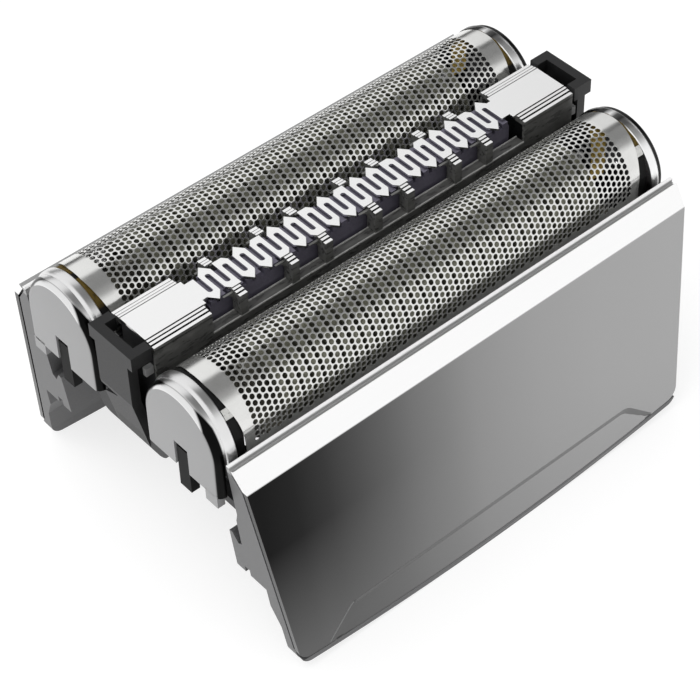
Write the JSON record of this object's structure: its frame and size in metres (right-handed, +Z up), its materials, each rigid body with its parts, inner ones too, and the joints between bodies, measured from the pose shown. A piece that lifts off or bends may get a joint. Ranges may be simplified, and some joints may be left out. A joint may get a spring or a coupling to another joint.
{
  "type": "electric shaver foil head",
  "caption": "Foil head for an electric shaver: perforated foils over moving cutters, a toothed long-hair trimmer between them, and flared sides that clip on the neck.",
  "frame": {"origin": "middle of the footprint, on the surface that the two side pieces stand on", "axes": "+X along the foils, +Y to the left side piece, +Z up out of the shaving side"},
  "size_m": [0.0478, 0.0348, 0.0261],
  "materials": {
    "dark_plastic": "matte dark grey moulding",
    "grey_plastic": "satin grey moulding",
    "bright_cover": "smooth bright metal skin with a dark sheen",
    "foil": "bright electroformed nickel",
    "guard_steel": "bright ground steel",
    "blade_steel": "dark ground steel",
    "cutter_plastic": "plain moulding",
    "spring_steel": "bare spring strip",
    "chrome_ring": "polished",
    "cap_satin": "satin light grey"
  },
  "bodies": {
    "frame": {"main_frame": "dark_plastic", "side_frame_left": "grey_plastic", "side_frame_right": "grey_plastic", "side_cover_left": "bright_cover", "side_cover_right": "bright_cover", "foil_springs_left": "spring_steel", "foil_springs_right": "spring_steel", "trimmer_springs": "spring_steel"},
    "foil_left": {"foil_sheet_left": "foil", "foil_frame_left": "dark_plastic", "end_ring_left_near": "chrome_ring", "end_ring_left_far": "chrome_ring", "end_cap_left_near": "cap_satin", "end_cap_left_far": "cap_satin"},
    "foil_right": {"foil_sheet_right": "foil", "foil_frame_right": "dark_plastic", "end_ring_right_near": "chrome_ring", "end_ring_right_far": "chrome_ring", "end_cap_right_near": "cap_satin", "end_cap_right_far": "cap_satin"},
    "cutter_left": {"cutter_carrier_left": "cutter_plastic", "cutter_blades_left": "blade_steel"},
    "cutter_right": {"cutter_carrier_right": "cutter_plastic", "cutter_blades_right": "blade_steel"},
    "trimmer": {"trimmer_guard": "guard_steel", "trimmer_base": "dark_plastic"},
    "blade": {"trimmer_blade": "blade_steel", "trimmer_driver": "cutter_plastic"}
  },
  "joints": [
    {"name": "foil_left_float", "type": "slide", "parent": "frame", "child": "foil_left", "axis": [0, 0, -1], "range_m": [0, 0.0018], "stiffness_N_per_m": 300, "springref_m": -0.001, "deforming": ["foil_springs_left"]},
    {"name": "foil_right_float", "type": "slide", "parent": "frame", "child": "foil_right", "axis": [0, 0, -1], "range_m": [0, 0.0018], "stiffness_N_per_m": 300, "springref_m": -0.001, "deforming": ["foil_springs_right"]},
    {"name": "trimmer_float", "type": "slide", "parent": "frame", "child": "trimmer", "axis": [0, 0, -1], "range_m": [0, 0.0015], "stiffness_N_per_m": 400, "springref_m": -0.001, "deforming": ["trimmer_springs"]},
    {"name": "cutter_left_stroke", "type": "slide", "parent": "foil_left", "child": "cutter_left", "axis": [1, 0, 0], "range_m": [-0.0011, 0.0011]},
    {"name": "cutter_right_stroke", "type": "slide", "parent": "foil_right", "child": "cutter_right", "axis": [1, 0, 0], "range_m": [-0.0011, 0.0011]},
    {"name": "trimmer_stroke", "type": "slide", "parent": "trimmer", "child": "blade", "axis": [1, 0, 0], "range_m": [-0.0008, 0.0008]}
  ]
}
